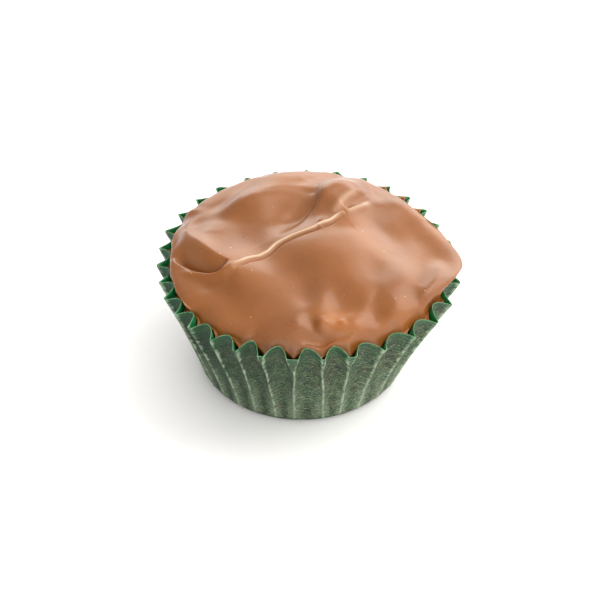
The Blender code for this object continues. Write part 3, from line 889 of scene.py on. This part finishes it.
def green_glassine():
    """Glassine, a thin smooth paper dyed green in the pulp and pressed into flutes between heated dies.
    The eye sees grey-green mottled by pale fibres, a pale line on each fold that is partly wear and partly
    painted highlight, paler folds near the base partly from painted bounce light, a pale cut edge, a stronger
    green inside and towards the rim, and painted shade on the left side."""
    material, tree, shader = new_material("glassine_paper_green")
    sheet = put(tree, "ShaderNodeAttribute", attribute_name="sheet").outputs["Vector"]
    fold = put(tree, "ShaderNodeAttribute", attribute_name="fold").outputs["Fac"]
    edge = put(tree, "ShaderNodeAttribute", attribute_name="edge").outputs["Fac"]
    inside = put(tree, "ShaderNodeAttribute", attribute_name="inside").outputs["Fac"]
    along = put(tree, "ShaderNodeSeparateXYZ", {0: sheet}).outputs["Y"]

    # The dye took unevenly over some 4 mm, deeper green in places
    dye = put(tree, "ShaderNodeTexNoise", {"Vector": sheet, "Scale": 1 / 4.0, "Detail": 2.0})
    uneven = remapped(tree, dye.outputs[0], 0.42, 0.6)
    colour = blend_colours(tree, uneven, linear("#262f1c"), linear("#0c3a20"))
    # The pulp clotted in flocks about 1.2 mm across
    clots = {"Vector": sheet, "Scale": 1 / 1.2, "Detail": 3.0, "Distortion": 0.6}
    flocks = put(tree, "ShaderNodeTexNoise", clots)
    thick = remapped(tree, flocks.outputs[0], 0.5, 0.3, 0, 0.8)
    colour = blend_colours(tree, thick, colour, linear("#07150c"))
    thin = remapped(tree, flocks.outputs[0], 0.5, 0.7, 0, 0.4)
    colour = blend_colours(tree, thin, colour, linear("#5a6c48"))
    # Fibres lie round the case, 1 mm long; they are drawn 0.25 mm thick to show at all
    lie = put(tree, "ShaderNodeMapping", {"Vector": sheet, "Scale": (1.0, 3.8, 1.0)}).outputs[0]
    fibres = put(tree, "ShaderNodeTexNoise", {"Vector": lie, "Scale": 1.1, "Detail": 3.0, "Distortion": 0.9})
    pale_fibre = remapped(tree, fibres.outputs[0], 0.5, 0.68, 0, 0.7)
    colour = blend_colours(tree, pale_fibre, colour, linear("#73845f"))
    dark_fibre = remapped(tree, fibres.outputs[0], 0.48, 0.34, 0, 0.75)
    colour = blend_colours(tree, dark_fibre, colour, linear("#08170e"))
    # Specks where fibres cross, 0.25 mm across
    specks = put(tree, "ShaderNodeTexNoise", {"Vector": sheet, "Scale": 1 / 0.25, "Detail": 1.0})
    pale_speck = remapped(tree, specks.outputs[0], 0.58, 0.72, 0, 0.5)
    colour = blend_colours(tree, pale_speck, colour, linear("#a0ad93"))

    # Painted shade: the left side is darker and deeper green, where less light falls
    place = put(tree, "ShaderNodeTexCoord").outputs["Object"]
    across = put(tree, "ShaderNodeSeparateXYZ", {0: place}).outputs["X"]
    painted_left_shade = remapped(tree, across, *LEFT_PAINTED_SHADE, 0, LEFT_PAINTED_SHADE_SHARE)
    colour = blend_colours(tree, painted_left_shade, colour, linear("#0a2a18"))
    # Towards the rim the green is deeper and stronger
    deeper_green_near_rim = remapped(tree, edge, 0.4, 3.2, 0.5, 0)
    colour = blend_colours(tree, deeper_green_near_rim, colour, linear("#0d4f2e"))
    # The inside keeps its full green
    colour = blend_colours(tree, remapped(tree, inside, 0, 1, 0, 0.8), colour, linear("#077040"))

    # Each fold has a pale line about 0.25 mm wide, broken where the die pressed less: partly wear of the dye
    # and partly a painted highlight on the fold's ridge
    wear_and_highlight_noise = put(tree, "ShaderNodeTexNoise", {"Vector": sheet, "Scale": 0.8, "Detail": 4.0, "Distortion": 0.4})
    reach = remapped(tree, wear_and_highlight_noise.outputs[0], 0.3, 0.7, 0.08, 0.36)
    near_fold = put(tree, "ShaderNodeMath", {0: fold, 1: reach}, operation="DIVIDE").outputs[0]
    line = remapped(tree, near_fold, 0.2, 1.0, 1.0, 0)
    strength = remapped(tree, wear_and_highlight_noise.outputs[0], 0.38, 0.6, 0.15, 0.8)
    line = put(tree, "ShaderNodeMath", {0: line, 1: strength}, operation="MULTIPLY").outputs[0]
    colour = blend_colours(tree, line, colour, linear("#9db096"))
    # Near the base the folds are paler over a millimetre or more: partly the dies' wear and partly painted
    # light from the floor's bounce
    low = remapped(tree, along, 27.0, 18.0, 0, 1)
    wear_and_bounce_near_fold = remapped(tree, fold, 0.1, 1.5, 0.7, 0)
    low_wear_and_bounce = put(tree, "ShaderNodeMath", {0: wear_and_bounce_near_fold, 1: low}, operation="MULTIPLY").outputs[0]
    streaked = remapped(tree, fibres.outputs[0], 0.35, 0.6, 0.2, 1)
    broken = put(tree, "ShaderNodeMath", {0: low_wear_and_bounce, 1: streaked}, operation="MULTIPLY").outputs[0]
    colour = blend_colours(tree, broken, colour, linear("#8d9c83"))
    # The cut edge shows the paper's pale core
    cut = remapped(tree, edge, 0.02, 0.18, 1, 0)
    frayed = remapped(tree, specks.outputs[0], 0.4, 0.62, 0.1, 0.6)
    cut = put(tree, "ShaderNodeMath", {0: cut, 1: frayed}, operation="MULTIPLY").outputs[0]
    colour = blend_colours(tree, cut, colour, linear("#86ab88"))
    tree.links.new(colour, shader.inputs["Base Color"])
    shader.inputs["Roughness"].default_value = 0.6
    shader.inputs["IOR"].default_value = 1.4
    shader.inputs["Subsurface Weight"].default_value = 0.2
    shader.inputs["Subsurface Radius"].default_value = (0.3, 1.0, 0.4)
    shader.inputs["Subsurface Scale"].default_value = 0.4 * MM
    cockle = put(tree, "ShaderNodeBump", {"Height": fibres.outputs[0], "Strength": 0.8, "Distance": 0.1 * MM})
    tree.links.new(cockle.outputs[0], shader.inputs["Normal"])
    return material


def white_card():
    """Matt white card, the surface that the candy stands on."""
    material, _, shader = new_material("white_card_matt")
    shader.inputs["Base Color"].default_value = linear("#fafaff")
    shader.inputs["Roughness"].default_value = 0.9
    shader.inputs["Specular IOR Level"].default_value = 0.1
    return material


def floor():
    side = FLOOR_HALF_SIDE
    mesh = bpy.data.meshes.new("floor_card")
    corners = [(-side, -side, 0), (side, -side, 0), (side, side, 0), (-side, side, 0)]
    mesh.from_pydata(corners, [], [(0, 1, 2, 3)])
    mesh.materials.append(white_card())
    card = bpy.data.objects.new("floor_card", mesh)
    bpy.context.scene.collection.objects.link(card)


def softbox(name, place, size, watts):
    """A softbox that faces the candy."""
    light = bpy.data.lights.new(name, "AREA")
    light.shape = "RECTANGLE"
    light.size, light.size_y = size
    light.energy = watts
    light.color = linear(SOFTBOX_LIGHT)[:3]
    lamp = bpy.data.objects.new(name, light)
    bpy.context.scene.collection.objects.link(lamp)
    lamp.location = place
    lamp.rotation_euler = (Vector((0, 0, RIM_HEIGHT)) - lamp.location).to_track_quat("-Z", "Y").to_euler()


def studio():
    world = bpy.data.worlds.new("white_studio")
    world.use_nodes = True
    tree = world.node_tree
    background = tree.nodes["Background"]
    background.inputs["Color"].default_value = linear(ROOM_LIGHT)
    towards = put(tree, "ShaderNodeTexCoord").outputs["Generated"]
    right = put(tree, "ShaderNodeSeparateXYZ", {0: towards}).outputs["X"]
    lit = {0: right, 1: ROOM_BRIGHTER_RIGHT, 2: ROOM_STRENGTH}
    glow = put(tree, "ShaderNodeMath", lit, operation="MULTIPLY_ADD").outputs[0]
    tree.links.new(glow, background.inputs["Strength"])
    bpy.context.scene.world = world
    softbox("window_right", (0.62, 0.22, 0.75), (0.8, 0.8), 5.0)
    softbox("backdrop", (0.2, 1.1, 0.4), (1.6, 0.6), 8.5)
    softbox("fill_front", (0.3, -1.1, 0.45), (1.2, 0.8), 4.0)
    bpy.context.scene.view_settings.view_transform = "Standard"


def camera():
    lens = bpy.data.cameras.new("camera")
    lens.lens = CAMERA_LENS
    lens.sensor_width = CAMERA_SENSOR
    lens.shift_x = SHIFT_RIGHT
    lens.shift_y = SHIFT_UP
    eye = bpy.data.objects.new("camera", lens)
    bpy.context.scene.collection.objects.link(eye)
    back = Vector((0, -math.cos(CAMERA_ELEVATION), math.sin(CAMERA_ELEVATION)))
    eye.location = Vector((0, 0, RIM_HEIGHT)) + back * CAMERA_DISTANCE
    eye.rotation_euler = (math.radians(90) - CAMERA_ELEVATION, 0, 0)
    bpy.context.scene.camera = eye


camera()
studio()
floor()
lining = paper_case(green_glassine())
chocolate(lining, milk_chocolate())
